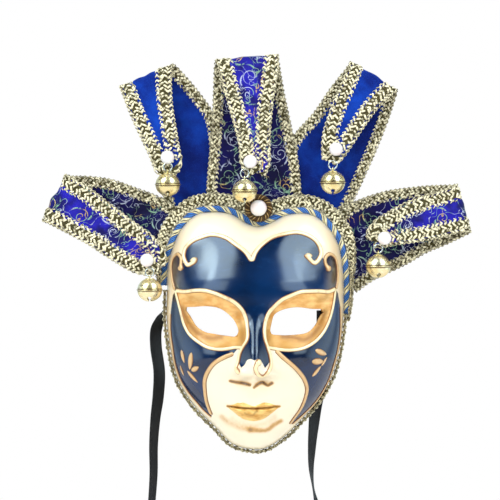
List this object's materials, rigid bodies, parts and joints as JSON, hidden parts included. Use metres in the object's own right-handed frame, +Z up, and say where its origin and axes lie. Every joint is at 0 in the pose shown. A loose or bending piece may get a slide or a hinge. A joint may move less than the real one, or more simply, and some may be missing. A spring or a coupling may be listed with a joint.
{
  "type": "jester mask",
  "caption": "Venetian carnival mask: hollow lacquered face with folded velvet and brocade petals, gold braid, jingle bells, pearls, a rosette and tie ribbons.",
  "frame": {"origin": "middle of the open back in the plane of the face's rim, level with the eye holes", "axes": "+Z up, +Y towards the wearer, so the face looks along -Y, +X to the right as seen from the front"},
  "size_m": [0.3677, 0.0883, 0.3903],
  "materials": {
    "lacquer": "glossy ivory lacquer with blue and gold painted ornament",
    "cord": "twisted satin cord, blue and gold strands",
    "braid": "metallic gold thread braid",
    "velvet": "royal blue velvet",
    "brocade": "blue-violet satin brocade with silver and gold scrolls",
    "pearl": "white pearl",
    "silver": "bright silver-white wire",
    "bell": "polished pale gold",
    "rosette": "dark bronze thread braid",
    "satin": "black satin ribbon"
  },
  "bodies": {
    "root": {"face_shell": "lacquer", "edge_cord": "cord", "face_braid_top": "braid", "face_braid_chin": "braid", "rosette_braid": "rosette", "rosette_pearl": "pearl", "petal_far_left": "brocade", "petal_left": "velvet", "petal_centre": "brocade", "petal_right": "velvet", "petal_far_right": "brocade", "petal_braid_far_left": "braid", "petal_braid_left": "braid", "petal_braid_centre": "braid", "petal_braid_right": "braid", "petal_braid_far_right": "braid", "pearl_far_left": "pearl", "pearl_left": "pearl", "pearl_centre": "pearl", "pearl_right": "pearl", "pearl_far_right": "pearl", "ring_far_left": "silver", "ring_left": "silver", "ring_centre": "silver", "ring_right": "silver", "ring_far_right": "silver", "bell_far_left": "bell", "bell_left": "bell", "bell_centre": "bell", "bell_right": "bell", "bell_far_right": "bell", "ribbon_left": "satin", "ribbon_right": "satin"}
  },
  "joints": []
}
